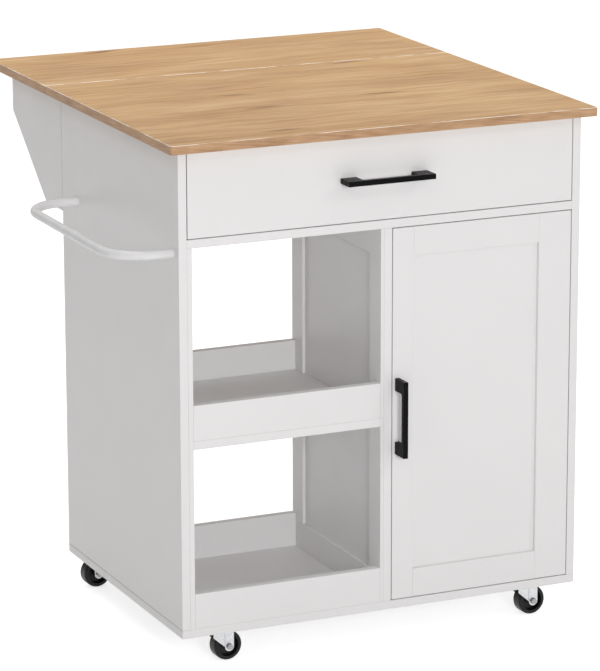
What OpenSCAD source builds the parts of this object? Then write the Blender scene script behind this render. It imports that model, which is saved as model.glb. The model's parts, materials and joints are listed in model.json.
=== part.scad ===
// Drop leaf kitchen island on casters: a carcase with open trays, a cupboard and a drawer
// under an oak worktop, whose rear leaf rests on two folding wings.
// X runs to the right, Y to the back and Z up. The origin is on the floor, in the middle of
// the whole outline. Every sub-part is drawn from the front left corner of the bottom board
// and moved into that frame by the module placed().

/* [Cabinet] */
// Width over the two side panels
cabinet_w = 750; // [680:1:860]
// Depth of the side panels
cabinet_d = 540; // [520:1:600]
// Height of the side panels
panel_h = 828; // [800:1:860]
// Thickness of the carcase boards
board_t = 15; // [14:0.5:18]
// Gap round the drawer front and the door
reveal = 1.5; // [1.5:0.5:4]
// Depth of the trays, the cupboard and the drawer space
bay_d = 370; // [340:1:390]
// Height of the drawer space under the worktop
drawer_space_h = 150; // [130:1:170]

/* [Worktop] */
// Thickness of the worktop
top_t = 15; // [14:0.5:22]
// Overhang of the worktop at each side
over_side = 21; // [10:1:30]
// Overhang of the worktop at the front
over_front = 22; // [10:1:30]
// Overhang of the fixed top at the back
over_back = 22; // [20:1:30]
// Depth of the drop leaf
leaf_d = 287.5; // [270:0.5:320]
// Gap between the fixed top and the leaf
seam = 1.5; // [1.4:0.1:2]
// Radius of the worktop's outer corners
top_corner_r = 5; // [2:0.5:12]

/* [Leaf wings] */
// Length of a wing behind its hinge
wing_len = 248.5; // [220:0.5:260]
// Height of a wing at its hinge
wing_root_h = 206; // [180:1:230]
// Height of a wing at its free end
wing_tip_h = 67; // [50:1:100]
// Length of a wing's level lower edge at its hinge
wing_foot = 82; // [40:1:120]
// Space between a wing and the leaf
wing_drop = 3; // [2.5:0.5:4]
// Gap between a wing and the side panel
wing_gap = 1.5; // [1:0.1:2]
// Length of a glide pad
pad_len = 32; // [20:1:36]
// Width of a glide pad
pad_w = 9; // [6:0.5:11]

/* [Tray bay] */
// Width between the left side panel and the divider
bay_w = 361; // [330:1:390]
// Thickness of the lining on the left side panel
lining_t = 9; // [6:0.5:12]
// Thickness of the frame on the divider
frame_t = 6; // [4:0.5:8]
// Width of the frame's upright strips
frame_stile_w = 45; // [35:1:55]
// Height of the frame's cross strips
frame_rail_h = 50; // [40:1:60]
// Height of the upper tray's board over the bottom board
shelf_up = 316; // [280:1:340]
// Height of a tray's front fence
fence_h = 62; // [40:1:80]
// Height of the upper tray's rear fence
rear_fence_h = 54; // [40:1:80]
// Thickness of a fence
fence_t = 15; // [9:0.5:18]

/* [Drawer] */
// Height of the drawer box
box_h = 100; // [80:1:105]
// Space between the drawer box and the rail behind it
box_back_gap = 5; // [3:1:40]
// Thickness of the drawer box's sides
box_t = 12; // [10:0.5:14]
// Thickness of the drawer's bottom
box_floor_t = 4; // [3:0.5:6]
// Space at each side for a runner
runner_space = 13; // [13:0.1:15]
// Distance of a runner's end from the box's back
runner_back_in = 7; // [4:1:30]
// Height of a runner
runner_h = 35; // [30:1:40]
// Wall of a runner
runner_t = 1.2; // [1:0.1:1.5]

/* [Door] */
// Thickness of the door
door_t = 18; // [16:0.5:20]
// Width of the door's handle stile
door_stile_w = 40; // [34:1:60]
// Width of the door's hinge stile
hinge_stile_w = 62; // [50:1:70]
// Height of the door's rails
door_rail_h = 51; // [40:1:70]
// Thickness of the door's panel
door_panel_t = 6; // [4:0.5:7]
// Depth of the groove that holds the panel
groove_d = 8; // [5:0.5:10]
// Depth of the panel's face behind the frame
door_recess = 7; // [5:0.5:8]
// Distance from a hinge to the door's end
hinge_end = 95; // [80:1:120]

/* [Pulls] */
// Width of a pull's square bar
pull_w = 9; // [8:0.5:12]
// Distance of a pull's face from the front
pull_out = 35; // [28:1:40]
// Length of the drawer's pull
drawer_pull_len = 162; // [120:1:220]
// Length of a foot of the drawer's pull
drawer_pull_foot = 30; // [16:1:34]
// Length of the door's pull
door_pull_len = 135; // [100:1:200]
// Length of a foot of the door's pull
door_pull_foot = 22; // [16:1:30]
// Distance of the door's pull from the door's edge
door_pull_in = 9; // [8:0.5:20]

/* [Towel bar] */
// Diameter of the towel bar's tube
towel_d = 16; // [12:0.5:20]
// Wall of the towel bar's tube
towel_wall = 1.2; // [0.8:0.1:2]
// Distance of the tube's middle from the side panel
towel_out = 101; // [90:1:115]
// Radius of the tube's bends
towel_r = 70; // [50:1:80]
// Distance of the front end from the panel's front edge
towel_front = 27; // [22:1:60]
// Distance between the two ends
towel_span = 439; // [380:1:460]
// Distance of the tube under the worktop
towel_drop = 176; // [150:1:200]
// Diameter of the washer under an end
washer_d = 18; // [17:0.5:26]
// Thickness of the washer
washer_t = 1; // [1:0.1:2]

/* [Casters] */
// Height of a caster
caster_h = 59; // [58:1:68]
// Diameter of a wheel
wheel_d = 52; // [44:1:52]
// Width of a wheel's tyre
wheel_w = 24; // [16:1:26]
// Distance from a caster's swivel to its axle
caster_trail = 13; // [11:0.5:16]
// Distance of a front caster from the side
front_caster_in = 82; // [60:1:110]
// Distance of a rear caster from the side
rear_caster_in = 49; // [46:1:80]
// Distance of a caster from the front or back edge
caster_edge = 38; // [34:1:60]
// Side of a caster's square plate
plate_side = 42; // [38:1:46]
// Turn of the casters at rest
caster_turn = 3; // [0:1:20]
// Diameter of the axle
axle_d = 6; // [5:0.5:8]

/* [Hidden] */
$fn = 64;
white = [0.91, 0.91, 0.91];
oak = [0.79, 0.64, 0.46];
steel = [0.75, 0.76, 0.78];
black = [0.09, 0.09, 0.1];
grey = [0.6, 0.61, 0.62];

// Levels, measured from the underside of the bottom board
floor_z = board_t;
under_top = board_t + panel_h;
mid_high = under_top - drawer_space_h;
mid_low = mid_high - board_t;
shelf_low = floor_z + shelf_up;
shelf_high = shelf_low + board_t;

// Places across the width
inner_left = board_t;
inner_right = cabinet_w - board_t;
bay_left = inner_left + lining_t;
divider_x = inner_left + bay_w;
bay_right = divider_x - frame_t;
cupboard_left = divider_x + board_t;

// The whole outline, which sets the origin
outline_left = -(towel_out + towel_d / 2);
outline_right = cabinet_w + over_side;
outline_front = -max(pull_out, over_front);
fixed_top_back = cabinet_d + over_back;
leaf_front = fixed_top_back + seam;
outline_back = leaf_front + leaf_d;

// Dowels
dowel_d = 8;
dowel_len = 30;
dowel_skin = 6;
dowel_end = 60;
dowel_sink = board_t - dowel_skin;

// Cupboard fittings
back_t = 5;
shelf_play = 1;
shelf_setback = 30;
pin_d = 5;
pin_sink = 8;
pin_reach = 8;
pin_inset = 45;

// Stiffeners under the worktop
apron_h = 100;
apron_setback = 40;
bracket_arm = 28;
bracket_w = 30;
bracket_t = 2;
bracket_front = 120;
bracket_behind = 30;
bracket_ys = [bracket_front, bay_d + bracket_behind];

// Hinges
knuckle_gap = 0.4;
running_play = 0.05;
turning_play = 0.3;
leaf_barrel_d = 5;
leaf_pin_d = 2.5;
leaf_hinge_len = 60;
leaf_hinge_w = 28;
leaf_hinge_t = 1.2;
leaf_hinge_in = 105;
leaf_hinge_xs = [leaf_hinge_in, (cabinet_w - leaf_hinge_len) / 2,
    cabinet_w - leaf_hinge_in - leaf_hinge_len];
leaf_axis_y = fixed_top_back + seam / 2;
wing_barrel_d = 6;
wing_pin_d = 3;
wing_hinge_len = 50;
wing_hinge_w = 26;
wing_hinge_t = 1.2;
wing_hinge_end = 20;
wing_top = under_top - wing_drop;
wing_hinge_zs = [wing_top - wing_root_h + wing_hinge_end,
    wing_top - wing_hinge_end - wing_hinge_len];
wing_axis_x = board_t + wing_barrel_d / 2;
wing_axis_y = cabinet_d + wing_gap / 2;

// Glide pads
glide_gap = 0.3;
pad_near = 38;
pad_end = 8;

// Drawer
front_low = mid_high + reveal;
front_high = under_top - reveal;
box_left = inner_left + runner_space;
box_right = inner_right - runner_space;
box_lift = 13;
box_low = mid_high + box_lift;
box_back = bay_d - board_t - box_back_gap;
box_groove = 6;
box_floor_up = 8;
runner_start = board_t + 3;
runner_len = box_back - runner_back_in - runner_start;
runner_low = box_low + (box_h - runner_h) / 2;
runner_lip = 6;
runner_gap = 0.3;
runner_air = 1;

// Door
door_left = cupboard_left + reveal;
door_right = inner_right - reveal;
door_low = floor_z + reveal;
door_high = mid_low - reveal;
cup_d = 35;
cup_depth = 11.5;
cup_in = 22;
cup_wall = 0.9;
cup_flange_t = 1;
cup_flange_w = 40;
cup_flange_h = 52;
link_h = 12;
link_foot = 6;
link_reach = 18;
link_rise = 9;
link_t = 4;
arm_h = 16;
arm_len = 58;
arm_depth = 14;
arm_tip = 7;
arm_taper = 14;
arm_plate_t = 2;
arm_plate_h = 48;
arm_plate_w = 14;
arm_plate_back = 24;
arm_gap = 0.3;
hinge_zs = [door_low + hinge_end, door_high - hinge_end];
catch_size = [45, 14, 12];
catch_in = 14;
catch_plate_size = [32, 1.2, 11];
catch_gap = 0.3;

// Pulls
pull_fillet = 4;

// Towel bar
towel_z = under_top - towel_drop;
towel_leg = towel_out - towel_r;
towel_back = towel_front + towel_span;

// Casters
plate_t = 1.5;
race_d = 28;
race_h = 2.2;
race_gap = 0.3;
crown_t = 1.8;
crown_back = 16;
king_d = 8;
king_head_d = 12;
king_head_t = 1.1;
leg_t = 1.8;
leg_w = 17;
rib_t = 0.8;
leg_slant = 18;
plate_hole_d = 4.5;
plate_hole_in = 6;
hub_d = 14;
web_t = 8;
rim_t = 7;
tyre_round = 4;
bolt_head_d = 11;
bolt_head_t = 4;
crown_top = -(plate_t + race_h + race_gap);
crown_low = crown_top - crown_t;
axle_z = -(caster_h - wheel_d / 2);
leg_gap = 1.5;
leg_in = wheel_w / 2 + leg_gap;
leg_out = leg_in + leg_t;
rib_out = leg_out + rib_t;
// Each caster's place and the way its wheel trails
caster_spots = [[front_caster_in, caster_edge, 0],
    [cabinet_w - front_caster_in, caster_edge, 0],
    [rear_caster_in, cabinet_d - caster_edge, 180],
    [cabinet_w - rear_caster_in, cabinet_d - caster_edge, 0]];

// ---- Shared forms ----

// Moves what is drawn from the bottom board's corner into the part's own frame
module placed() {
    translate([-(outline_left + outline_right) / 2, -(outline_front + outline_back) / 2, caster_h])
        children();
}

// A flat-sided board between two opposite corners
module board(low, high) {
    translate(low)
        cube(high - low);
}

// What is drawn at the left, at both sides of the cabinet
module both_sides() {
    children();
    right_side()
        children();
}

module right_side() {
    translate([cabinet_w, 0, 0])
        mirror([1, 0, 0])
            children();
}

// One half of a butt hinge: its pin lies along Z and its plate runs to +X
module butt_half(length, plate_w, plate_t, plate_at, barrel_d, bore_d, knuckles) {
    third = length / 3;
    reach = barrel_d / 2 + turning_play;
    difference() {
        union() {
            translate([reach, plate_at, 0])
                cube([plate_w - reach, plate_t, length]);
            for (i = knuckles) {
                low = i * third + (i == 0 ? 0 : knuckle_gap / 2);
                high = (i + 1) * third - (i == 2 ? 0 : knuckle_gap / 2);
                translate([0, 0, low])
                    cylinder(d = barrel_d, h = high - low);
                translate([0, plate_at, low])
                    cube([reach + 1, plate_t, high - low]);
            }
        }
        translate([0, 0, -1])
            cylinder(d = bore_d, h = length + 2);
    }
}

// ---- Carcase ----

// A dowel across a joint: it sinks into the board below and stands up from it
module dowel() {
    translate([0, 0, -dowel_sink])
        cylinder(d = dowel_d, h = dowel_len);
}

module all_dowels() {
    both_sides() {
        for (y = [dowel_end, cabinet_d / 2, cabinet_d - dowel_end])
            translate([board_t / 2, y, floor_z])
                dowel();
        for (y = [dowel_end, bay_d - dowel_end])
            translate([inner_left, y, mid_low + board_t / 2])
                rotate([0, 90, 0])
                    dowel();
    }
    for (y = [dowel_end, bay_d - dowel_end]) {
        translate([divider_x + board_t / 2, y, floor_z])
            dowel();
        translate([divider_x + board_t / 2, y, mid_low])
            mirror([0, 0, 1])
                dowel();
    }
}

module carcase_dowels() {
    color(oak)
        placed()
            all_dowels();
}

module bottom_board() {
    color(white)
        placed()
            difference() {
                board([0, 0, 0], [cabinet_w, cabinet_d, floor_z]);
                all_dowels();
            }
}

// The side panel is drawn at the left
module side_panel() {
    difference() {
        board([0, 0, floor_z], [board_t, cabinet_d, under_top]);
        all_dowels();
    }
}

module side_panel_left() {
    color(white)
        placed()
            side_panel();
}

module side_panel_right() {
    color(white)
        placed()
            difference() {
                right_side()
                    side_panel();
                all_pins();
            }
}

module mid_board() {
    color(white)
        placed()
            difference() {
                board([inner_left, 0, mid_low], [inner_right, bay_d, mid_high]);
                all_dowels();
            }
}

module divider() {
    color(white)
        placed()
            difference() {
                board([divider_x, 0, floor_z], [cupboard_left, bay_d, mid_low]);
                all_dowels();
                all_pins();
            }
}

// Strips on the divider's bay side, round a field that lies back by their thickness.
// The upper tray's board cuts the uprights in two.
module divider_frame() {
    color(white)
        placed()
            difference() {
                for (y = [0, bay_d - frame_stile_w])
                    board([bay_right, y, floor_z], [divider_x, y + frame_stile_w, mid_low]);
                board([bay_left, -1, shelf_low], [divider_x + 1, bay_d + 1, shelf_high]);
            }
    color(white)
        placed()
            for (z = [floor_z, mid_low - frame_rail_h])
                board([bay_right, frame_stile_w, z],
                    [divider_x, bay_d - frame_stile_w, z + frame_rail_h]);
}

module bay_lining() {
    color(white)
        placed()
            board([inner_left, 0, floor_z], [bay_left, bay_d, mid_low]);
}

module bay_shelf() {
    color(white)
        placed()
            board([bay_left, 0, shelf_low], [divider_x, bay_d, shelf_high]);
}

// A tray's front and rear fences, standing on the board at z
module fences(z, front_h, rear_h) {
    board([bay_left, 0, z], [bay_right, fence_t, z + front_h]);
    board([bay_left, bay_d - fence_t, z], [bay_right, bay_d, z + rear_h]);
}

module bottom_fences() {
    color(white)
        placed()
            fences(floor_z, fence_h, fence_h);
}

module shelf_fences() {
    color(white)
        placed()
            fences(shelf_high, fence_h, rear_fence_h);
}

module cupboard_back() {
    color(white)
        placed()
            board([cupboard_left, bay_d - back_t, floor_z], [inner_right, bay_d, mid_low]);
}

module cupboard_shelf() {
    color(white)
        placed()
            board([cupboard_left + shelf_play, shelf_setback, shelf_low],
                [inner_right - shelf_play, bay_d - back_t - shelf_play, shelf_high]);
}

// Pins that carry the cupboard's shelf, sunk in the divider and the right side panel
module all_pins() {
    for (y = [shelf_setback + pin_inset, bay_d - pin_inset], x = [cupboard_left, inner_right])
        translate([x - (x == cupboard_left ? pin_sink : pin_reach), y, shelf_low - pin_d / 2])
            rotate([0, 90, 0])
                cylinder(d = pin_d, h = pin_sink + pin_reach);
}

module shelf_pins() {
    color(steel)
        placed()
            all_pins();
}

module drawer_back_rail() {
    color(white)
        placed()
            board([inner_left, bay_d - board_t, mid_high], [inner_right, bay_d, under_top]);
}

module rear_apron() {
    back = cabinet_d - apron_setback;
    color(white)
        placed()
            board([inner_left, back - board_t, under_top - apron_h], [inner_right, back, under_top]);
}

// Angle brackets that hold the worktop on the side panels
module top_brackets() {
    color(steel)
        placed()
            both_sides()
                for (y = bracket_ys) {
                    board([inner_left, y, under_top - bracket_arm],
                        [inner_left + bracket_t, y + bracket_w, under_top]);
                    board([inner_left, y, under_top - bracket_t],
                        [inner_left + bracket_arm, y + bracket_w, under_top]);
                }
}

// ---- Worktop ----

// A slab whose two corners at y = 0 are rounded
module slab(width, depth) {
    r = top_corner_r;
    linear_extrude(top_t) {
        translate([0, r])
            square([width, depth - r]);
        translate([r, 0])
            square([width - 2 * r, r]);
        for (x = [r, width - r])
            translate([x, r])
                circle(r);
    }
}

// The space that the leaf's hinges take in the boards' lower edges
module leaf_hinge_space() {
    r = leaf_barrel_d / 2 + turning_play;
    for (x = leaf_hinge_xs) {
        translate([x, leaf_axis_y - leaf_hinge_w, under_top])
            cube([leaf_hinge_len, 2 * leaf_hinge_w, leaf_hinge_t]);
        translate([x - turning_play, leaf_axis_y, under_top])
            rotate([0, 90, 0])
                cylinder(r = r, h = leaf_hinge_len + 2 * turning_play);
    }
}

module fixed_top() {
    width = cabinet_w + 2 * over_side;
    color(oak)
        placed()
            difference() {
                translate([-over_side, -over_front, under_top])
                    slab(width, fixed_top_back + over_front);
                leaf_hinge_space();
            }
}

module leaf() {
    width = cabinet_w + 2 * over_side;
    color(oak)
        placed()
            difference() {
                translate([-over_side, outline_back, under_top])
                    mirror([0, 1, 0])
                        slab(width, leaf_d);
                leaf_hinge_space();
            }
}

// Half of each leaf hinge, with its plate towards the front
module leaf_hinge_halves(bore_d, knuckles) {
    for (x = leaf_hinge_xs)
        translate([x + leaf_hinge_len, 0, 0])
            rotate([90, 0, -90])
                butt_half(leaf_hinge_len, leaf_hinge_w, leaf_hinge_t, 0,
                    leaf_barrel_d, bore_d, knuckles);
}

module leaf_hinge_fixed() {
    color(steel)
        placed()
            translate([0, leaf_axis_y, under_top])
                leaf_hinge_halves(leaf_pin_d, [0, 2]);
}

module leaf_hinge_moving() {
    color(steel)
        placed()
            translate([0, leaf_axis_y, under_top])
                mirror([0, 1, 0])
                    leaf_hinge_halves(leaf_pin_d + 2 * running_play, [1]);
}

module leaf_hinge_pins() {
    color(steel)
        placed()
            for (x = leaf_hinge_xs)
                translate([x, leaf_axis_y, under_top])
                    rotate([0, 90, 0])
                        cylinder(d = leaf_pin_d, h = leaf_hinge_len);
}

// ---- Folding wings ----

// The wing is drawn at the left, flush with the side panel's outer face
module wing() {
    start = cabinet_d + wing_gap;
    end = start + wing_len;
    rotate([90, 0, 90])
        linear_extrude(board_t)
            polygon([[start, wing_top - wing_root_h], [start + wing_foot, wing_top - wing_root_h],
                [end, wing_top - wing_tip_h], [end, wing_top], [start, wing_top]]);
}

module wing_left() {
    color(white)
        placed()
            wing();
}

module wing_right() {
    color(white)
        placed()
            right_side()
                wing();
}

// Low-friction pads on a wing's upper edge, under the leaf
module glides() {
    start = cabinet_d + wing_gap;
    for (y = [start + pad_near, start + wing_len - pad_end - pad_len])
        translate([(board_t - pad_w) / 2, y, wing_top])
            cube([pad_w, pad_len, wing_drop - glide_gap]);
}

module glides_left() {
    color(grey)
        placed()
            glides();
}

module glides_right() {
    color(grey)
        placed()
            right_side()
                glides();
}

// Half of each of the left wing's hinges, with its plate on the side panel
module wing_hinge_halves(bore_d, knuckles) {
    for (z = wing_hinge_zs)
        translate([0, 0, z])
            rotate([0, 0, -90])
                butt_half(wing_hinge_len, wing_hinge_w, wing_hinge_t, -wing_barrel_d / 2,
                    wing_barrel_d, bore_d, knuckles);
}

module wing_hinges_fixed() {
    color(steel)
        placed()
            both_sides()
                translate([wing_axis_x, wing_axis_y, 0])
                    wing_hinge_halves(wing_pin_d, [0, 2]);
}

// The half that turns with the left wing
module wing_hinge_half_moving() {
    translate([wing_axis_x, wing_axis_y, 0])
        mirror([0, 1, 0])
            wing_hinge_halves(wing_pin_d + 2 * running_play, [1]);
}

module wing_hinges_left() {
    color(steel)
        placed()
            wing_hinge_half_moving();
}

module wing_hinges_right() {
    color(steel)
        placed()
            right_side()
                wing_hinge_half_moving();
}

module wing_hinge_pins() {
    color(steel)
        placed()
            both_sides()
                for (z = wing_hinge_zs)
                    translate([wing_axis_x, wing_axis_y, z])
                        cylinder(d = wing_pin_d, h = wing_hinge_len);
}

// ---- Drawer ----

module drawer_front() {
    color(white)
        placed()
            board([inner_left + reveal, 0, front_low], [inner_right - reveal, board_t, front_high]);
}

// The drawer's bottom, let into grooves in the sides and the back
module drawer_floor() {
    low = box_low + box_floor_up;
    board([box_left + box_t - box_groove, board_t, low],
        [box_right - box_t + box_groove, box_back - box_t + box_groove, low + box_floor_t]);
}

module drawer_sides() {
    color(white)
        placed()
            difference() {
                both_sides()
                    board([box_left, board_t, box_low],
                        [box_left + box_t, box_back, box_low + box_h]);
                drawer_floor();
            }
}

module drawer_back() {
    color(white)
        placed()
            difference() {
                board([box_left + box_t, box_back - box_t, box_low],
                    [box_right - box_t, box_back, box_low + box_h]);
                drawer_floor();
            }
}

module drawer_bottom() {
    color(white)
        placed()
            drawer_floor();
}

// The runner's outer channel, seen along Y, with its back on x = 0
module channel_profile() {
    depth = runner_space - runner_air;
    square([runner_t, runner_h]);
    for (z = [0, runner_h - runner_t])
        translate([0, z])
            square([depth, runner_t]);
    for (z = [0, runner_h - runner_lip])
        translate([depth - runner_t, z])
            square([runner_t, runner_lip]);
}

// The runner's inner rail, whose turned-out edges run behind the channel's lips
module rail_profile() {
    neck = runner_h - 2 * runner_lip - 2 * runner_gap;
    neck_low = runner_lip + runner_gap;
    edge = runner_t + runner_gap;
    translate([runner_space - runner_t, neck_low])
        square([runner_t, neck]);
    for (z = [neck_low, neck_low + neck - runner_t])
        translate([edge, z])
            square([runner_space - edge, runner_t]);
    for (z = [edge, neck_low + neck - runner_t])
        translate([edge, z])
            square([runner_t, neck_low + runner_t - edge]);
}

// A runner's profile along its length, beside the left side panel
module along_runner() {
    translate([inner_left, runner_start + runner_len, runner_low])
        rotate([90, 0, 0])
            linear_extrude(runner_len)
                children();
}

module runners_fixed() {
    color(steel)
        placed()
            both_sides()
                along_runner()
                    channel_profile();
}

module runners_moving() {
    color(steel)
        placed()
            both_sides()
                along_runner()
                    rail_profile();
}

// ---- Pulls ----

// A square bar on two feet, along X, whose feet stand on the plane y = 0
module pull(length, foot) {
    pocket = length - 2 * foot;
    near = -pull_out + pull_w;
    r = pull_fillet;
    translate([0, 0, -pull_w / 2])
        linear_extrude(pull_w)
            difference() {
                translate([-length / 2, -pull_out])
                    square([length, pull_out]);
                translate([-pocket / 2, near + r])
                    square([pocket, pull_out]);
                translate([-pocket / 2 + r, near])
                    square([pocket - 2 * r, pull_out]);
                for (x = [-1, 1])
                    translate([x * (pocket / 2 - r), near + r])
                        circle(r);
            }
}

module drawer_pull() {
    color(black)
        placed()
            translate([cabinet_w / 2, 0, (front_low + front_high) / 2])
                pull(drawer_pull_len, drawer_pull_foot);
}

module door_pull() {
    color(black)
        placed()
            translate([door_left + door_pull_in, 0, (door_low + door_high) / 2])
                rotate([0, -90, 0])
                    pull(door_pull_len, door_pull_foot);
}

// ---- Door ----

// The panel, whose edges lie in the frame's grooves
module door_field() {
    board([door_left + door_stile_w - groove_d, door_recess, door_low + door_rail_h - groove_d],
        [door_right - hinge_stile_w + groove_d, door_recess + door_panel_t,
            door_high - door_rail_h + groove_d]);
}

module door_stiles() {
    color(white)
        placed()
            difference() {
                board([door_left, 0, door_low], [door_left + door_stile_w, door_t, door_high]);
                door_field();
            }
    color(white)
        placed()
            difference() {
                board([door_right - hinge_stile_w, 0, door_low], [door_right, door_t, door_high]);
                door_field();
                at_cups()
                    translate([0, 0, -cup_depth])
                        cylinder(d = cup_d, h = cup_depth + 1);
            }
}

module door_rails() {
    color(white)
        placed()
            difference() {
                for (z = [door_low, door_high - door_rail_h])
                    board([door_left + door_stile_w, 0, z],
                        [door_right - hinge_stile_w, door_t, z + door_rail_h]);
                door_field();
            }
}

module door_panel() {
    color(white)
        placed()
            door_field();
}

// The middle of each hinge cup's mouth on the door's back, with Z along the cup
module at_cups() {
    for (z = hinge_zs)
        translate([door_right - cup_in, door_t, z])
            rotate([-90, 0, 0])
                children();
}

// A hinge cup with its flange, and the cranked link that leaves it
module door_hinge_cups() {
    color(steel)
        placed()
            at_cups() {
                difference() {
                    union() {
                        translate([0, 0, -cup_depth])
                            cylinder(d = cup_d, h = cup_depth);
                        translate([-cup_flange_w / 2, -cup_flange_h / 2, 0])
                            cube([cup_flange_w, cup_flange_h, cup_flange_t]);
                    }
                    translate([0, 0, -cup_depth + cup_wall])
                        cylinder(d = cup_d - 2 * cup_wall, h = cup_depth + 2);
                }
                translate([0, link_h / 2, 0])
                    rotate([90, 0, 0])
                        linear_extrude(link_h)
                            polygon([[-link_foot, -cup_depth + cup_wall], [0, -cup_depth + cup_wall],
                                [link_reach / 2, link_rise - 1.5 * link_t],
                                [link_reach, link_rise - link_t], [link_reach, link_rise],
                                [link_foot, link_rise]]);
            }
}

// The fixed arm on its cross-shaped plate, seen from above in the polygon
module door_hinge_arms() {
    start = door_t + link_rise + arm_gap;
    end = start + arm_len;
    color(steel)
        placed()
            for (z = hinge_zs) {
                translate([0, 0, z - arm_h / 2])
                    linear_extrude(arm_h)
                        polygon([[inner_right, start + arm_tip], [inner_right, end],
                            [inner_right - arm_depth / 2, end],
                            [inner_right - arm_depth, end - arm_taper],
                            [inner_right - arm_depth, start], [inner_right - arm_tip, start]]);
                translate([inner_right - arm_plate_t, start + arm_plate_back,
                        z - arm_plate_h / 2])
                    cube([arm_plate_t, arm_plate_w, arm_plate_h]);
            }
}

module door_catch() {
    low = [door_left + catch_in, door_t + catch_plate_size[1] + catch_gap, mid_low - catch_size[2]];
    color(grey)
        placed()
            board(low, low + catch_size);
}

module catch_plate() {
    side = (catch_size[0] - catch_plate_size[0]) / 2;
    low = [door_left + catch_in + side, door_t, mid_low - catch_size[2]];
    color(steel)
        placed()
            board(low, low + [catch_plate_size[0], catch_plate_size[1],
                catch_size[2] - reveal]);
}

// ---- Towel bar ----

// A round bar of diameter d along the towel bar's middle line
module towel_line(d) {
    for (y = [towel_front, towel_back])
        translate([-towel_leg, y, towel_z])
            rotate([0, 90, 0])
                cylinder(d = d, h = towel_leg - washer_t);
    for (spot = [[towel_front + towel_r, 180], [towel_back - towel_r, 90]])
        translate([-towel_leg, spot[0], towel_z])
            rotate([0, 0, spot[1]])
                rotate_extrude(angle = 90)
                    translate([towel_r, 0])
                        circle(d = d);
    translate([-towel_out, towel_front + towel_r, towel_z])
        rotate([-90, 0, 0])
            cylinder(d = d, h = towel_span - 2 * towel_r);
}

module towel_bar() {
    color(white)
        placed()
            difference() {
                towel_line(towel_d);
                towel_line(towel_d - 2 * towel_wall);
            }
}

module towel_washers() {
    color(white)
        placed()
            for (y = [towel_front, towel_back])
                translate([-washer_t, y, towel_z])
                    rotate([0, 90, 0])
                        cylinder(d = washer_d, h = washer_t);
}

// ---- Casters ----
// Each caster is drawn with its swivel on the Z axis, its plate under z = 0 and its wheel
// trailing towards +X.

module at_caster(i) {
    spot = caster_spots[i];
    placed()
        translate([spot[0], spot[1], 0])
            rotate(caster_turn + spot[2])
                children();
}

// The square plate with its raceway and king pin
module caster_plate() {
    hole = plate_side / 2 - plate_hole_in;
    difference() {
        translate([-plate_side / 2, -plate_side / 2, -plate_t])
            cube([plate_side, plate_side, plate_t]);
        for (x = [-hole, hole], y = [-hole, hole])
            translate([x, y, -plate_t - 1])
                cylinder(d = plate_hole_d, h = plate_t + 2);
    }
    translate([0, 0, -plate_t - race_h])
        cylinder(d = race_d, h = race_h);
    translate([0, 0, crown_low - race_gap])
        cylinder(d = king_d, h = -crown_low);
    translate([0, 0, crown_low - race_gap - king_head_t])
        cylinder(d = king_head_d, h = king_head_t);
}

module caster_plates() {
    color(steel)
        for (i = [0:3])
            at_caster(i)
                rotate(-caster_turn)
                    caster_plate();
}

// A fork leg's outline: upright at the trailing side, slanted at the other, round at the axle
module leg_outline() {
    r = leg_w / 2;
    translate([caster_trail, axle_z])
        circle(r);
    polygon([[caster_trail + r, axle_z], [caster_trail + r, crown_low], [-crown_back, crown_low],
        [-crown_back, axle_z + leg_slant], [caster_trail - r, axle_z]]);
}

// The raised band down the middle of a leg
module rib_outline() {
    r = leg_w / 2;
    translate([caster_trail, axle_z])
        circle(r);
    translate([caster_trail - r, axle_z])
        square([leg_w, crown_low - axle_z]);
}

// One leg between two distances from the wheel's middle
module leg(near, far) {
    translate([0, far, 0])
        rotate([90, 0, 0])
            linear_extrude(far - near)
                children();
}

module fork() {
    difference() {
        union() {
            translate([-crown_back, -leg_out, crown_low])
                cube([crown_back + caster_trail + leg_w / 2, 2 * leg_out, crown_t]);
            leg(leg_in, leg_out)
                leg_outline();
            leg(-leg_out, -leg_in)
                leg_outline();
            leg(leg_out, rib_out)
                rib_outline();
            leg(-rib_out, -leg_out)
                rib_outline();
        }
        translate([0, 0, crown_low - 1])
            cylinder(d = king_d + 2 * running_play, h = crown_t + 2);
        translate([caster_trail, rib_out + 1, axle_z])
            rotate([90, 0, 0])
                cylinder(d = axle_d + 2 * running_play, h = 2 * rib_out + 2);
    }
}

// The axle bolt with its hexagonal head and nut
module axle() {
    translate([caster_trail, 0, axle_z])
        rotate([90, 0, 0]) {
            translate([0, 0, -rib_out])
                cylinder(d = axle_d, h = 2 * rib_out);
            for (z = [rib_out, -rib_out - bolt_head_t])
                translate([0, 0, z])
                    cylinder(d = bolt_head_d, h = bolt_head_t, $fn = 6);
        }
}

// A wheel turned about its axle: hub, web and a rim with rounded shoulders
module wheel() {
    hub_len = 2 * (leg_in - race_gap);
    rim_in = wheel_d / 2 - rim_t;
    translate([caster_trail, 0, axle_z])
        rotate([90, 0, 0])
            rotate_extrude() {
                translate([axle_d / 2 + running_play, -hub_len / 2])
                    square([hub_d / 2 - axle_d / 2 - running_play, hub_len]);
                translate([hub_d / 2, -web_t / 2])
                    square([rim_in - hub_d / 2, web_t]);
                translate([rim_in, -wheel_w / 2])
                    square([rim_t - tyre_round, wheel_w]);
                translate([wheel_d / 2 - tyre_round, -wheel_w / 2 + tyre_round])
                    square([tyre_round, wheel_w - 2 * tyre_round]);
                for (y = [-1, 1])
                    translate([wheel_d / 2 - tyre_round, y * (wheel_w / 2 - tyre_round)])
                        circle(tyre_round);
            }
}

module fork_front_left() {
    color(steel)
        at_caster(0)
            fork();
}

module fork_front_right() {
    color(steel)
        at_caster(1)
            fork();
}

module fork_rear_left() {
    color(steel)
        at_caster(2)
            fork();
}

module fork_rear_right() {
    color(steel)
        at_caster(3)
            fork();
}

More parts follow.
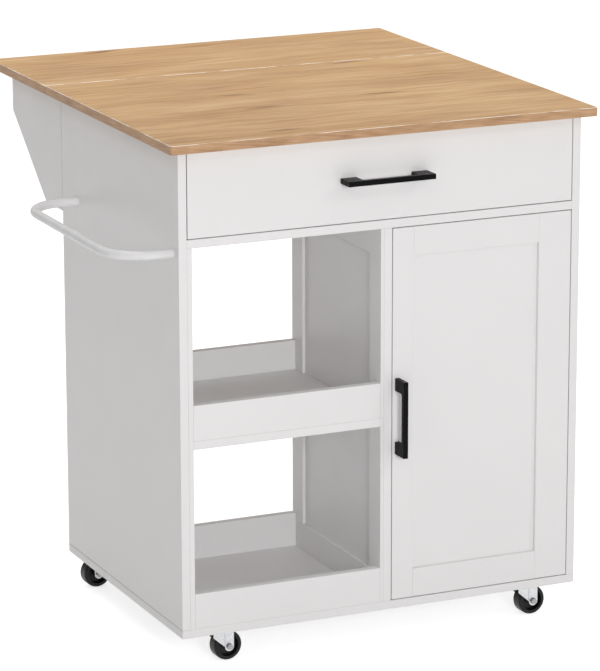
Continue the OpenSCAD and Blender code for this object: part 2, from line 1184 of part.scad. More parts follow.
module axle_front_left() {
    color(grey)
        at_caster(0)
            axle();
}

module axle_front_right() {
    color(grey)
        at_caster(1)
            axle();
}

module axle_rear_left() {
    color(grey)
        at_caster(2)
            axle();
}

module axle_rear_right() {
    color(grey)
        at_caster(3)
            axle();
}

module wheel_front_left() {
    color(black)
        at_caster(0)
            wheel();
}

module wheel_front_right() {
    color(black)
        at_caster(1)
            wheel();
}

module wheel_rear_left() {
    color(black)
        at_caster(2)
            wheel();
}

module wheel_rear_right() {
    color(black)
        at_caster(3)
            wheel();
}

bottom_board();
side_panel_left();
side_panel_right();
mid_board();
divider();
divider_frame();
bay_lining();
bay_shelf();
bottom_fences();
shelf_fences();
cupboard_back();
cupboard_shelf();
shelf_pins();
drawer_back_rail();
rear_apron();
carcase_dowels();
top_brackets();
fixed_top();
leaf();
leaf_hinge_fixed();
leaf_hinge_moving();
leaf_hinge_pins();
wing_left();
wing_right();
glides_left();
glides_right();
wing_hinges_fixed();
wing_hinges_left();
wing_hinges_right();
wing_hinge_pins();
drawer_front();
drawer_sides();
drawer_back();
drawer_bottom();
drawer_pull();
runners_fixed();
runners_moving();
door_stiles();
door_rails();
door_panel();
door_pull();
door_hinge_cups();
door_hinge_arms();
door_catch();
catch_plate();
towel_bar();
towel_washers();
caster_plates();
fork_front_left();
fork_front_right();
fork_rear_left();
fork_rear_right();
axle_front_left();
axle_front_right();
axle_rear_left();
axle_rear_right();
wheel_front_left();
wheel_front_right();
wheel_rear_left();
wheel_rear_right();
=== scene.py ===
"""Looks of a drop leaf kitchen island on casters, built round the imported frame."""

import json
import math

import bmesh
import bpy
from mathutils import Matrix, Vector


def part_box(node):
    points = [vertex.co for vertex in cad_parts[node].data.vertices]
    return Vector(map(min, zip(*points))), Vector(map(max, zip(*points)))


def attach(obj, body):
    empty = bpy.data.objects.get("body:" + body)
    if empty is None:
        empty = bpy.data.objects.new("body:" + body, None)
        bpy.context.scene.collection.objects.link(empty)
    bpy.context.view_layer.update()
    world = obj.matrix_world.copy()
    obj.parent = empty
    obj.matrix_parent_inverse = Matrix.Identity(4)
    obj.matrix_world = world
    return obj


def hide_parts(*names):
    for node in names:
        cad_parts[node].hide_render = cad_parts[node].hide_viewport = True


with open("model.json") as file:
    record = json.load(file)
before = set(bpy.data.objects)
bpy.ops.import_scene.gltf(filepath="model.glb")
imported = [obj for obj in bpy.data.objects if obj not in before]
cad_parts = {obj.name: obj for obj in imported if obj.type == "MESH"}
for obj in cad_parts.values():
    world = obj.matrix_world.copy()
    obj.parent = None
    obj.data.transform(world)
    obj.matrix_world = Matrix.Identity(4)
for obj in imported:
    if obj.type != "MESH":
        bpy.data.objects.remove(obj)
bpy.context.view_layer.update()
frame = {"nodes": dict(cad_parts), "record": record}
NODES = frame["nodes"]
BODY_OF = {node: body for body, members in frame["record"]["behaviour"]["bodies"].items()
           for node in members}
SLOT_OF = {part["node"]: part["material_slot"] for part in frame["record"]["subparts"]}

MM = 0.001


# ---- Shader maths ----

class Sock:
    """A shader socket with Python's operators, each of which adds a Math node."""

    def __init__(self, paint, socket):
        self.paint, self.socket = paint, socket

    def _math(self, operation, first, second):
        node = self.paint.tree.nodes.new("ShaderNodeMath")
        node.operation = operation
        for slot, value in zip(node.inputs, (first, second)):
            self.paint.feed(slot, value)
        return Sock(self.paint, node.outputs[0])

    def __add__(self, other):
        return self._math("ADD", self, other)

    def __radd__(self, other):
        return self._math("ADD", other, self)

    def __sub__(self, other):
        return self._math("SUBTRACT", self, other)

    def __mul__(self, other):
        return self._math("MULTIPLY", self, other)

    def over(self, level):
        """One where the value is over the level, otherwise nought."""
        return self._math("GREATER_THAN", self, level)


class Paint:
    """A material whose Principled shader is fed by expressions."""

    def __init__(self, name, **constants):
        self.material = bpy.data.materials.new(name)
        self.material.use_nodes = True
        self.tree = self.material.node_tree
        self.shader = self.tree.nodes["Principled BSDF"]
        for socket, value in constants.items():
            self.shader.inputs[socket.replace("_", " ")].default_value = value

    def feed(self, slot, value):
        """Links a socket to a slot, or writes a constant there."""
        if isinstance(value, Sock):
            self.tree.links.new(value.socket, slot)
        elif value is not None:
            slot.default_value = value

    def node(self, kind, settings=None, out=0, **inputs):
        """Any node: its type, its settings, then the values or links of its sockets.

        A socket goes by its name, with _ for a space, or by its number, as in i0.
        """
        made = self.tree.nodes.new("ShaderNode" + kind)
        for key, value in (settings or {}).items():
            if key == "stops":
                self.ramp_stops(made, value)
            else:
                setattr(made, key, value)
        for key, value in inputs.items():
            numbered = key[0] == "i" and key[1:].isdigit()
            self.feed(made.inputs[int(key[1:]) if numbered else key.replace("_", " ")], value)
        return Sock(self, made.outputs[out])

    @staticmethod
    def ramp_stops(ramp, stops):
        elements = ramp.color_ramp.elements
        while len(elements) < len(stops):
            elements.new(0.5)
        for element, (place, color) in zip(elements, stops):
            element.position = place
            element.color = (*color, 1) if len(color) == 3 else color

    def use(self, socket, value):
        """Feeds an input of the Principled shader."""
        self.feed(self.shader.inputs[socket.replace("_", " ")], value)

    # Short forms of the nodes that most finishes use

    def place(self):
        return self.node("TexCoord", out="Object")

    def stretch(self, point, scale, shift=(0, 0, 0)):
        return self.node("Mapping", Vector=point, Scale=scale, Location=shift)

    def noise(self, point, scale, detail=4.0, rough=0.5):
        return self.node("TexNoise", Vector=point, Scale=scale, Detail=detail, Roughness=rough)

    def spread(self, value, low, high, out_low=0.0, out_high=1.0):
        """Maps low..high to out_low..out_high, held at both ends."""
        return self.node("MapRange", Value=value, From_Min=low, From_Max=high, To_Min=out_low,
                         To_Max=out_high)

    def mix(self, factor, first, second):
        return self.node("Mix", {"data_type": "RGBA"}, out=2, i0=factor, i6=first, i7=second)

    def axis(self, point, letter):
        return self.node("SeparateXYZ", out=letter, Vector=point)

    def bump(self, height, distance, strength=1.0):
        self.use("Normal", self.node("Bump", Height=height, Distance=distance, Strength=strength))


def paint_boards():
    """White lacquered board: very fine orange peel, faint clouds in tone and sheen."""
    p = Paint("white_board", Specular_IOR_Level=0.45)
    at = p.place()
    clouds = p.noise(at, 5.0, detail=3.0)
    fleck = p.noise(at, 60.0, detail=5.0, rough=0.6)
    tone = p.spread(clouds * 0.7 + fleck * 0.3, 0.35, 0.65)
    p.use("Base Color", p.mix(tone, (0.802, 0.792, 0.794, 1), (0.815, 0.805, 0.807, 1)))
    p.use("Roughness", p.spread(p.noise(at, 18.0), 0.3, 0.7, 0.41, 0.46))
    peel = p.noise(at, 700.0, detail=2.0)
    p.bump(peel + clouds * 2.0, 0.00002, 0.35)
    return p.material


def paint_joint_shade():
    """Painted shade: a dark grey that stands in for the shadow in the thin groove where the
    carcase stands on its bottom board.
    """
    p = Paint("board_joint_painted_shade", Specular_IOR_Level=0.30)
    uneven = p.noise(p.place(), 40.0, detail=3.0)
    p.use("Base Color", p.mix(p.spread(uneven, 0.35, 0.65), (0.300, 0.292, 0.290, 1),
                              (0.400, 0.390, 0.388, 1)))
    p.use("Roughness", p.spread(uneven, 0.3, 0.7, 0.50, 0.62))
    return p.material


def bent_grain(p, at):
    """The object's own coordinates, with the fibres along X wandering sideways."""
    wander = p.noise(p.stretch(at, (3.5, 6.0, 6.0)), 1.0, detail=3.0)
    return p.node("VectorMath", {"operation": "ADD"}, i0=at,
                  i1=p.node("CombineXYZ", Y=(wander - 0.5) * 0.07))


def paint_oak():
    """Oak decor: broad bands, fine streaks, flames, brown zones, short cracks and pores."""
    p = Paint("oak_decor", Specular_IOR_Level=0.30)
    at = p.place()
    bent = bent_grain(p, at)
    bands = p.noise(p.stretch(bent, (2.2, 11.0, 11.0)), 1.0, detail=3.0, rough=0.55)
    streaks = p.noise(p.stretch(bent, (7.0, 95.0, 95.0)), 1.0, detail=6.0, rough=0.65)
    flames = p.node("TexWave", {"bands_direction": "Y"}, out=1,
                    Vector=p.stretch(bent, (1.2, 6.5, 6.5)), Scale=1.9, Distortion=8.0,
                    Detail=4.0, Detail_Scale=1.5, Detail_Roughness=0.6)
    tone = p.spread(bands * 0.9 + streaks * 0.7 + flames * 0.12, 0.58, 1.16)
    wood = p.node("ValToRGB", {"stops": [(0.0, (0.450, 0.236, 0.096)),
                                         (0.35, (0.588, 0.346, 0.152)),
                                         (0.65, (0.676, 0.424, 0.198)),
                                         (1.0, (0.762, 0.522, 0.276))]}, Fac=tone)
    zones = p.stretch(bent, (3.0, 24.0, 24.0), (0.31, 0.12, 0))
    brown = p.noise(zones, 1.0, detail=5.0, rough=0.6)
    wood = p.mix(p.spread(brown, 0.54, 0.76) * 0.50, wood, (0.400, 0.205, 0.078, 1))
    cells = p.stretch(bent, (3.4, 20.0, 20.0), (0.2, 0.35, 0))
    chosen = p.axis(p.node("TexVoronoi", out=1, Vector=cells, Scale=1.0), "X").over(0.72)
    from_middle = p.node("TexVoronoi", Vector=cells, Scale=1.0)
    cracks = p.spread(from_middle, 0.02, 0.17, 1.0, 0.0) * chosen
    wood = p.mix(cracks * 0.85, wood, (0.170, 0.076, 0.028, 1))
    pores = p.noise(p.stretch(at, (38.0, 900.0, 900.0)), 1.0, detail=2.0, rough=0.5)
    pore = p.spread(pores, 0.58, 0.70)
    p.use("Base Color", p.mix(pore * 0.20, wood, (0.280, 0.158, 0.078, 1)))
    sheen = p.noise(p.stretch(at, (9.0, 9.0, 9.0)), 1.0, detail=3.0)
    p.use("Roughness", p.spread(sheen, 0.3, 0.7, 0.34, 0.46) + pore * 0.10)
    p.bump(tone * 0.3 - pore, 0.00005, 0.35)
    return p.material


def paint_arris_highlight():
    """The worktop's upper arris: pale oak as a painted highlight, standing in for the light that
    the rounded edge catches, with short breaks.
    """
    p = Paint("oak_arris_painted_highlight", Specular_IOR_Level=0.5)
    at = p.place()
    breaks = p.noise(p.stretch(at, (30.0, 30.0, 30.0)), 1.0, detail=4.0)
    p.use("Base Color", p.mix(p.spread(breaks, 0.38, 0.56), (0.56, 0.36, 0.20, 1),
                              (0.95, 0.88, 0.78, 1)))
    p.use("Roughness", p.spread(breaks, 0.3, 0.7, 0.30, 0.42))
    return p.material


def paint_edge_band():
    """The worktop's edge band: pinker, plainer oak with slanting fine lines."""
    p = Paint("oak_edge_band", Specular_IOR_Level=0.35)
    at = p.place()
    slant = p.node("VectorMath", {"operation": "ADD"}, i0=at,
                   i1=p.node("CombineXYZ", Z=(p.axis(at, "X") + p.axis(at, "Y")) * 0.12))
    lines = p.noise(p.stretch(slant, (9.0, 9.0, 380.0)), 1.0, detail=4.0, rough=0.6)
    patches = p.noise(p.stretch(at, (22.0, 22.0, 60.0)), 1.0, detail=4.0)
    tone = p.spread(lines * 0.6 + patches * 0.55, 0.38, 0.78)
    p.use("Base Color", p.mix(tone, (0.360, 0.204, 0.108, 1), (0.645, 0.402, 0.232, 1)))
    p.use("Roughness", p.spread(lines, 0.3, 0.7, 0.44, 0.56))
    p.bump(lines, 0.00004, 0.4)
    return p.material


def paint_powder(name, dark, light, rough_low, rough_high, grain, gloss=0.5):
    """Powder-coated metal: fine pebble and slight patches of sheen."""
    p = Paint(name, Specular_IOR_Level=gloss)
    at = p.place()
    patches = p.noise(at, 35.0, detail=3.0)
    p.use("Base Color", p.mix(p.spread(patches, 0.3, 0.7), dark, light))
    p.use("Roughness", p.spread(p.noise(at, 160.0), 0.3, 0.7, rough_low, rough_high))
    p.bump(p.noise(at, grain, detail=2.0), 0.00003, 0.5)
    return p.material


def paint_zinc(name, dark, light, rough):
    """Bright zinc: faint crystals, brushed lines and worn tone."""
    p = Paint(name, Metallic=1.0)
    at = p.place()
    crystals = p.node("TexVoronoi", Vector=at, Scale=420.0, Randomness=1.0)
    drawn = p.noise(p.stretch(at, (60.0, 60.0, 900.0)), 1.0, detail=3.0)
    tone = p.spread(crystals * 0.4 + drawn * 0.6, 0.25, 0.75)
    p.use("Base Color", p.mix(tone, dark, light))
    p.use("Roughness", p.spread(drawn, 0.3, 0.7, rough - 0.06, rough + 0.08))
    p.bump(drawn, 0.00001, 0.5)
    return p.material


def paint_plastic(name, dark, light, rough, gloss=0.5):
    """Moulded plastic: spark-eroded grain and a slight haze."""
    p = Paint(name, Specular_IOR_Level=gloss)
    at = p.place()
    haze = p.noise(at, 45.0, detail=4.0)
    p.use("Base Color", p.mix(p.spread(haze, 0.3, 0.7), dark, light))
    p.use("Roughness", p.spread(p.noise(at, 260.0), 0.3, 0.7, rough - 0.07, rough + 0.07))
    p.bump(p.noise(at, 1500.0, detail=2.0), 0.00002, 0.5)
    return p.material


def paint_beech():
    """Beech dowels with fine fibres along their length."""
    p = Paint("beech_dowels")
    at = p.place()
    fibre = p.noise(p.stretch(at, (200.0, 200.0, 900.0)), 1.0, detail=3.0)
    p.use("Base Color", p.mix(fibre, (0.48, 0.31, 0.17, 1), (0.66, 0.47, 0.29, 1)))
    p.use("Roughness", 0.5 + fibre * 0.2)
    return p.material


FINISH = {
    "white_board": paint_boards(),
    "oak_laminate": paint_oak(),
    "beech": paint_beech(),
    "zinc_steel": paint_zinc("bright_zinc", (0.50, 0.51, 0.53, 1), (0.74, 0.75, 0.77, 1), 0.32),
    "bolt_steel": paint_zinc("bolt_zinc", (0.30, 0.30, 0.31, 1), (0.48, 0.48, 0.49, 1), 0.38),
    "wheel_black": paint_plastic("wheel_nylon", (0.004, 0.004, 0.004, 1),
                                 (0.009, 0.009, 0.009, 1), 0.38, gloss=0.28),
    "pull_black": paint_powder("pull_powder", (0.003, 0.003, 0.003, 1),
                               (0.005, 0.005, 0.006, 1), 0.28, 0.40, 900.0, gloss=0.07),
    "bar_white": paint_powder("bar_powder", (0.74, 0.74, 0.745, 1), (0.80, 0.80, 0.805, 1),
                              0.30, 0.42, 700.0),
    "grey_plastic": paint_plastic("grey_plastic", (0.30, 0.31, 0.32, 1),
                                  (0.42, 0.43, 0.44, 1), 0.5),
}
EDGE_BAND = paint_edge_band()
# Painted highlight along the worktop's rounded upper arris
ARRIS_HIGHLIGHT = paint_arris_highlight()
# Painted shade for the groove where the carcase stands on its bottom board
PAINTED_JOINT_SHADE = paint_joint_shade()


# ---- Pieces ----

SAME_POINT = 0.005 * MM     # Points nearer than this are one
FLAT = math.radians(0.5)    # Faces that meet at less than this are one
SAME_HEIGHT = 0.01 * MM
CORNER = math.radians(40)   # Faces that meet at more than this have a corner to soften
CREASE = math.radians(35)   # The shading breaks where faces meet at more than this
BOARD_ROUND = 0.7 * MM
TOP_ROUND = 1.3 * MM
PULL_ROUND = 0.8 * MM

# The upward part of a face's normal
STANDING = 0.35             # An upright face has less
LYING = 0.97                # A level face has more
TILTED = 0.20               # A rounding has more, in each direction that it turns to

BOARDS = ["bottom_board", "side_panel_left", "side_panel_right", "mid_board", "divider",
          "divider_frame", "bay_lining", "bay_shelf", "bottom_fences", "shelf_fences",
          "cupboard_back", "cupboard_shelf", "drawer_back_rail", "rear_apron", "drawer_front",
          "drawer_sides", "drawer_back", "drawer_bottom", "door_stiles", "door_rails",
          "door_panel", "wing_left", "wing_right"]


def add_piece(name, mesh, body):
    """Links a new mesh as a piece that moves with a body."""
    piece = bpy.data.objects.new(name, mesh)
    bpy.context.scene.collection.objects.link(piece)
    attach(piece, body)
    return piece


def clean_copy(node):
    """The node's solid as a mesh of whole flat faces, ready for rounding."""
    bm = bmesh.new()
    bm.from_mesh(NODES[node].data)
    bmesh.ops.remove_doubles(bm, verts=bm.verts, dist=SAME_POINT)
    bmesh.ops.dissolve_limit(bm, angle_limit=FLAT, verts=bm.verts, edges=bm.edges)
    return bm


def is_corner(edge):
    """Whether two faces meet here at an angle that shows."""
    return len(edge.link_faces) == 2 and edge.calc_face_angle(0) > CORNER


def soften(node, width, shortest=4 * MM, keep=None, segments=2):
    """Stands a copy with softly rounded edges in place of a node."""
    bm = clean_copy(node)
    chosen = [edge for edge in bm.edges if is_corner(edge)
              and edge.calc_length() > shortest and (keep is None or keep(edge))]
    bmesh.ops.bevel(bm, geom=chosen, offset=width, segments=segments, profile=0.5,
                    affect="EDGES", clamp_overlap=False)
    mesh = bpy.data.meshes.new("soft_" + node)
    for face in bm.faces:
        face.smooth = True
    bm.to_mesh(mesh)
    bm.free()
    mesh.set_sharp_from_angle(angle=CREASE)
    mesh.materials.append(FINISH[SLOT_OF[node]])
    piece = add_piece("soft_" + node, mesh, BODY_OF[node])
    weigh = piece.modifiers.new("weigh", "WEIGHTED_NORMAL")
    weigh.keep_sharp = True
    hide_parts(node)
    return piece


def band_edges(piece):
    """Gives a slab's upright faces the edge band's finish and its rounding the arris's painted
    highlight.
    """
    piece.data.materials.append(EDGE_BAND)
    piece.data.materials.append(ARRIS_HIGHLIGHT)
    for face in piece.data.polygons:
        if abs(face.normal.z) < STANDING:
            face.material_index = 1
        # The rounding gets the pale painted highlight
        elif abs(face.normal.z) < LYING:
            face.material_index = 2


def shade_joint(piece):
    """Gives the rounding along a board's upper side edges the painted shade of the joint line."""
    piece.data.materials.append(PAINTED_JOINT_SHADE)
    for face in piece.data.polygons:
        if TILTED < face.normal.z < LYING and abs(face.normal.x) > TILTED:
            face.material_index = 1


def dress_boards():
    """Rounds all boards, and paints shade into the joint under the side panels."""
    for node in BOARDS:
        piece = soften(node, BOARD_ROUND)
        if node == "bottom_board":
            # Painted shade in the joint groove under the side panels
            shade_joint(piece)


def dress_worktop():
    """Rounds the upper rims of the fixed top and the leaf, and bands their edges."""
    for node in ("fixed_top", "leaf"):
        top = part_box(node)[1].z

        def on_rim(edge):
            return all(abs(v.co.z - top) < SAME_HEIGHT for v in edge.verts)

        band_edges(soften(node, TOP_ROUND, shortest=0.0, keep=on_rim, segments=3))


def dress_pulls():
    for node in ("drawer_pull", "door_pull"):
        soften(node, PULL_ROUND, shortest=0.0, segments=3)


# ---- Screws ----

def solids(node):
    """The lowest and highest corner of each separate solid of a node, from left to right."""
    bm = clean_copy(node)
    bm.verts.index_update()
    met = set()
    boxes = []
    for first in bm.verts:
        if first.index in met:
            continue
        met.add(first.index)
        group = [first]
        for vert in group:
            for edge in vert.link_edges:
                other = edge.other_vert(vert)
                if other.index not in met:
                    met.add(other.index)
                    group.append(other)
        boxes.append(tuple(tuple(round(pick(v.co[i] for v in group), 6) for i in range(3))
                           for pick in (min, max)))
    bm.free()
    return [(Vector(low), Vector(high)) for low, high in sorted(boxes)]


HEAD_POINTS = 24
HEAD_PROFILE = [(1.0, 0.35), (0.94, 0.70), (0.80, 0.92), (0.60, 1.0)]  # Radius and height
HEAD_FOOT = 0.2 * MM        # How far a head's foot is sunk
HEAD_TURN = 37              # Degrees from one head's cross to the next one's

CROSS_ARM = 0.46            # Shares of the head's radius
CROSS_HALF = 0.12
CROSS_TAPER = 0.85          # The cross's floor against its mouth
CROSS_FLOOR = 0.25          # A share of the head's height


def screw_head(bm, at, toward, radius, rise, turn):
    """Adds a domed head with a cross recess, whose closed foot is sunk a little."""
    facing = Vector(toward).to_track_quat("Z", "Y").to_matrix().to_4x4()
    place = Matrix.Translation(at) @ facing @ Matrix.Rotation(turn, 4, "Z")

    def ring(points, height):
        return [bm.verts.new(place @ Vector((x, y, height))) for x, y in points]

    def join(lower, upper):
        for i in range(len(lower)):
            k = (i + 1) % len(lower)
            bm.faces.new((lower[i], lower[k], upper[k], upper[i]))

    angles = [2 * math.pi * i / HEAD_POINTS for i in range(HEAD_POINTS)]
    around = [(math.cos(angle), math.sin(angle)) for angle in angles]
    rings = [ring([(radius * x, radius * y) for x, y in around], -HEAD_FOOT)]
    for share, height in HEAD_PROFILE:
        rings.append(ring([(radius * share * x, radius * share * y) for x, y in around],
                          rise * height))
        join(rings[-2], rings[-1])
    bm.faces.new(rings[0])

    arm, half = CROSS_ARM * radius, CROSS_HALF * radius
    cross = [(arm, -half), (arm, half), (half, half)]
    for _ in range(3):
        cross += [(-y, x) for x, y in cross[-3:]]
    mouth = ring(cross, rise)
    floor = ring([(CROSS_TAPER * x, CROSS_TAPER * y) for x, y in cross], CROSS_FLOOR * rise)
    join(mouth, floor)
    bm.faces.new(floor)
    rim = [bm.edges.get((loop[i - 1], loop[i])) for loop in (rings[-1], mouth)
           for i in range(len(loop))]
    bmesh.ops.triangle_fill(bm, use_beauty=True, edges=rim, normal=toward)


def set_screws(node, spots, head):
    """Sets heads on a node's plates: each spot is a point and the way its head looks."""
    radius, rise = head
    bm = bmesh.new()
    for count, (at, toward) in enumerate(spots):
        screw_head(bm, at, toward, radius, rise, math.radians(HEAD_TURN * count))
    bmesh.ops.recalc_face_normals(bm, faces=bm.faces)
    mesh = bpy.data.meshes.new(node + "_screws")
    for face in bm.faces:
        face.smooth = True
    bm.to_mesh(mesh)
    bm.free()
    mesh.set_sharp_from_angle(angle=CORNER)
    mesh.materials.append(FINISH["bolt_steel"])
    add_piece(node + "_screws", mesh, BODY_OF[node])


# Radius and height of the heads
HINGE_HEAD = (3.2 * MM, 0.9 * MM)
BRACKET_HEAD = (4.0 * MM, 1.8 * MM)
CASTER_HEAD = (4.2 * MM, 1.9 * MM)
DOOR_HINGE_HEAD = (3.2 * MM, 1.0 * MM)
PULL_HEAD = (4.2 * MM, 2.2 * MM)
RUNNER_HEAD = (3.4 * MM, 1.0 * MM)
BAR_HEAD = (4.6 * MM, 2.4 * MM)

# Thickness of what the screws hold
THIN_PLATE = 1.2 * MM       # Wing hinges and runners
BRACKET_PLATE = 2 * MM
CASTER_PLATE = 1.5 * MM
ARM_PLATE = 2 * MM
CUP_FLANGE = 1 * MM

# Distances from the ends and edges of the plates
PLATE_END = 10 * MM
PLATE_IN = 7 * MM
STEPS_IN = (1.0, 2.0, 1.0)  # Times PLATE_IN: a plate's middle screw is set in
CASTER_EDGE = 6 * MM
ARM_PLATE_MIDDLE = 31 * MM
ARM_ADJUSTERS = (12 * MM, 36 * MM)
CUP_EDGE = 4.2 * MM
DRAWER_PULL_IN = 15 * MM
DOOR_PULL_IN = 11 * MM
RUNNER_END = 24 * MM

# Ways that heads look
DOWN = (0, 0, -1)
BACK = (0, 1, 0)
LEFT = (-1, 0, 0)
RIGHT = (1, 0, 0)


def along(low, high, inset):
    """Both ends' screws and the middle one."""
    return (low + inset, (low + high) / 2, high - inset)


def inner_face(low, high, thickness):
    """The place and the outlook of an upright plate's face toward the cabinet's middle."""
    return (low.x + thickness, RIGHT) if low.x < 0 else (high.x - thickness, LEFT)


def screw_leaf_hinges():
    """Three in each plate, which is let into the boards' undersides."""
    for node, side in (("leaf_hinge_fixed", 1), ("leaf_hinge_moving", -1)):
        spots = []
        for low, high in solids(node):
            edge, z = low.y if side > 0 else high.y, (low.z + high.z) / 2
            for x, step in zip(along(low.x, high.x, PLATE_END), STEPS_IN):
                spots.append(((x, edge + side * step * PLATE_IN, z), DOWN))
        set_screws(node, spots, HINGE_HEAD)


def screw_wing_hinges():
    """Three in each plate, on the inner faces of the side panels and the wings."""
    for node, side in (("wing_hinges_fixed", 1), ("wing_hinges_left", -1),
                       ("wing_hinges_right", -1)):
        spots = []
        for low, high in solids(node):
            x, inward = inner_face(low, high, THIN_PLATE)
            edge = low.y if side > 0 else high.y
            for z, step in zip(along(low.z, high.z, PLATE_END), STEPS_IN):
                spots.append(((x, edge + side * step * PLATE_IN, z), inward))
        set_screws(node, spots, HINGE_HEAD)


def screw_brackets():
    """One up into the worktop and one out into the side panel."""
    spots = []
    for low, high in solids("top_brackets"):
        wall, inward = inner_face(low, high, BRACKET_PLATE)
        free = high.x - PLATE_END if inward == RIGHT else low.x + PLATE_END
        y = (low.y + high.y) / 2
        spots.append(((free, y, high.z - BRACKET_PLATE), DOWN))
        spots.append(((wall, y, low.z + PLATE_END), inward))
    set_screws("top_brackets", spots, BRACKET_HEAD)


def screw_casters():
    """Four through each plate's holes."""
    spots = []
    for low, high in solids("caster_plates"):
        for x in (low.x + CASTER_EDGE, high.x - CASTER_EDGE):
            for y in (low.y + CASTER_EDGE, high.y - CASTER_EDGE):
                spots.append(((x, y, high.z - CASTER_PLATE), DOWN))
    set_screws("caster_plates", spots, CASTER_HEAD)


def screw_door_hinges():
    """Two in each arm's plate, two that adjust the arm, and two in each cup's flange."""
    spots = []
    for low, high in solids("door_hinge_arms"):
        for z in (low.z + PLATE_IN, high.z - PLATE_IN):
            spots.append(((high.x - ARM_PLATE, low.y + ARM_PLATE_MIDDLE, z), LEFT))
        for inset in ARM_ADJUSTERS:
            spots.append(((low.x, low.y + inset, (low.z + high.z) / 2), LEFT))
    set_screws("door_hinge_arms", spots, DOOR_HINGE_HEAD)

    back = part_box("door_stiles")[1].y
    spots = []
    for low, high in solids("door_hinge_cups"):
        for z in (low.z + CUP_EDGE, high.z - CUP_EDGE):
            spots.append((((low.x + high.x) / 2, back + CUP_FLANGE, z), BACK))
    set_screws("door_hinge_cups", spots, DOOR_HINGE_HEAD)


def screw_pulls():
    """Two from behind into each pull's feet."""
    low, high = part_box("drawer_pull")
    y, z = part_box("drawer_front")[1].y, (low.z + high.z) / 2
    ends = (low.x + DRAWER_PULL_IN, high.x - DRAWER_PULL_IN)
    set_screws("drawer_pull", [((x, y, z), BACK) for x in ends], PULL_HEAD)

    low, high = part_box("door_pull")
    x, y = (low.x + high.x) / 2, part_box("door_stiles")[1].y
    ends = (low.z + DOOR_PULL_IN, high.z - DOOR_PULL_IN)
    set_screws("door_pull", [((x, y, z), BACK) for z in ends], PULL_HEAD)


def screw_runners():
    """Three in each runner's channel, in the middle of its height."""
    spots = []
    for low, high in solids("runners_fixed"):
        x, inward = inner_face(low, high, THIN_PLATE)
        for y in along(low.y, high.y, RUNNER_END):
            spots.append(((x, y, (low.z + high.z) / 2), inward))
    set_screws("runners_fixed", spots, RUNNER_HEAD)


def screw_towel_bar():
    """The rear end's screw, on the side panel's inner face."""
    low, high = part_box("towel_washers")
    y, z = high.y - (high.z - low.z) / 2, (low.z + high.z) / 2
    set_screws("towel_bar", [((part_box("side_panel_left")[1].x, y, z), RIGHT)], BAR_HEAD)


dress_boards()
dress_worktop()
dress_pulls()
screw_leaf_hinges()
screw_wing_hinges()
screw_brackets()
screw_casters()
screw_door_hinges()
screw_pulls()
screw_runners()
screw_towel_bar()
for node, piece in NODES.items():
    if not piece.hide_render:
        piece.data.materials.clear()
        piece.data.materials.append(FINISH[SLOT_OF[node]])


# ---- Floor, light and camera ----

FLOOR_HALF = 14.0           # Half the floor's side in metres
FLOOR_GLOW = 0.70           # Added for the seen rays, so that the unshaded floor is white
AMBIENT = 0.42


def is_seen(tree, *kinds):
    """One for the rays of these kinds, and nought for the light that reaches the object."""
    rays = tree.nodes.new("ShaderNodeLightPath")
    total = rays.outputs[f"Is {kinds[0]} Ray"]
    for kind in kinds[1:]:
        add = tree.nodes.new("ShaderNodeMath")
        add.use_clamp = True
        tree.links.new(total, add.inputs[0])
        tree.links.new(rays.outputs[f"Is {kind} Ray"], add.inputs[1])
        total = add.outputs[0]
    return total


def choose(tree, seen, plain, shown, output):
    """Gives the seen rays one shader and all others the plain one."""
    pick = tree.nodes.new("ShaderNodeMixShader")
    tree.links.new(seen, pick.inputs["Fac"])
    tree.links.new(plain, pick.inputs[1])
    tree.links.new(shown, pick.inputs[2])
    tree.links.new(pick.outputs[0], tree.nodes[output].inputs["Surface"])


def pale_stage():
    """A pale floor that keeps the shadow, and shows as white where nothing shades it."""
    p = Paint("pale_floor", Base_Color=(0.76, 0.76, 0.76, 1), Roughness=0.9)
    glow = p.tree.nodes.new("ShaderNodeEmission")
    glow.inputs["Strength"].default_value = FLOOR_GLOW
    both = p.tree.nodes.new("ShaderNodeAddShader")
    p.tree.links.new(p.shader.outputs[0], both.inputs[0])
    p.tree.links.new(glow.outputs[0], both.inputs[1])
    choose(p.tree, is_seen(p.tree, "Camera", "Glossy", "Transmission"), p.shader.outputs[0],
           both.outputs[0], "Material Output")

    bm = bmesh.new()
    bmesh.ops.create_grid(bm, x_segments=1, y_segments=1, size=FLOOR_HALF)
    mesh = bpy.data.meshes.new("floor")
    bm.to_mesh(mesh)
    bm.free()
    mesh.materials.append(p.material)
    floor = bpy.data.objects.new("floor", mesh)
    bpy.context.scene.collection.objects.link(floor)


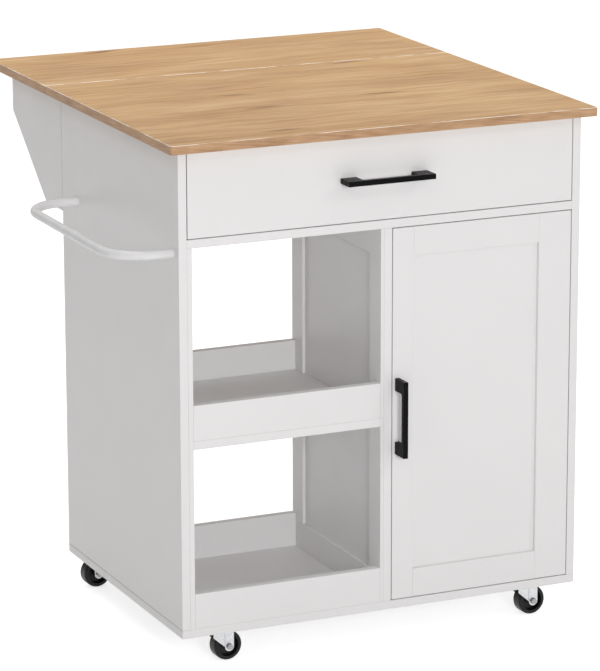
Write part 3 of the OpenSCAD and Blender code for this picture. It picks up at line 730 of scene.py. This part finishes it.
def white_world():
    """An even, slightly warm light from all round, seen as white."""
    world = bpy.data.worlds.new("studio")
    bpy.context.scene.world = world
    world.use_nodes = True
    tree = world.node_tree
    light = tree.nodes["Background"]
    light.inputs["Color"].default_value = (1, 0.985, 0.972, 1)
    light.inputs["Strength"].default_value = AMBIENT
    white = tree.nodes.new("ShaderNodeBackground")
    white.inputs["Color"].default_value = (1, 1, 1, 1)
    choose(tree, is_seen(tree, "Camera", "Transmission"), light.outputs[0], white.outputs[0],
           "World Output")


def soft_lamp(name, at, aim, size, power, shine=True):
    """A square softbox; without shine it leaves no bright patch on a glossy surface."""
    data = bpy.data.lights.new(name, "AREA")
    data.shape = "SQUARE"
    data.size = size
    data.energy = power
    lamp = bpy.data.objects.new(name, data)
    lamp.visible_glossy = shine
    lamp.location = at
    lamp.rotation_euler = (Vector(aim) - Vector(at)).to_track_quat("-Z", "Y").to_euler()
    bpy.context.scene.collection.objects.link(lamp)


def photo_camera():
    """A pitched camera at the photograph's viewing angle, worked out from the cabinet's edges."""
    data = bpy.data.cameras.new("photo_camera")
    data.sensor_width = 36.0
    data.lens = 202.0
    data.clip_end = 60.0
    camera = bpy.data.objects.new("photo_camera", data)
    camera.location = (-2.6276, -6.0049, 2.1622)
    yaw, pitch, roll = math.radians(24.205), math.radians(14.565), math.radians(0.134)
    forward = Vector((math.sin(yaw) * math.cos(pitch), math.cos(yaw) * math.cos(pitch),
                      -math.sin(pitch)))
    turn = forward.to_track_quat("-Z", "Y").to_matrix() @ Matrix.Rotation(-roll, 3, "Z")
    camera.rotation_euler = turn.to_euler()
    bpy.context.scene.collection.objects.link(camera)
    bpy.context.scene.camera = camera


pale_stage()
white_world()
soft_lamp("front", (-0.8, -5.0, 1.7), (0, 0, 0.10), 1.0, 95, shine=False)
soft_lamp("key", (2.3, -2.9, 2.9), (0, 0, 0.40), 0.4, 11, shine=False)
soft_lamp("left", (-1.9, -1.0, 3.2), (0, 0, 0.40), 0.5, 4, shine=False)
soft_lamp("back", (-1.0, 4.8, 2.2), (0, 0, 0.40), 2.0, 40, shine=False)
soft_lamp("top", (0.3, 0.9, 3.4), (0, 0, 0.5), 2.0, 40)
photo_camera()

bpy.context.scene.view_settings.view_transform = "Standard"
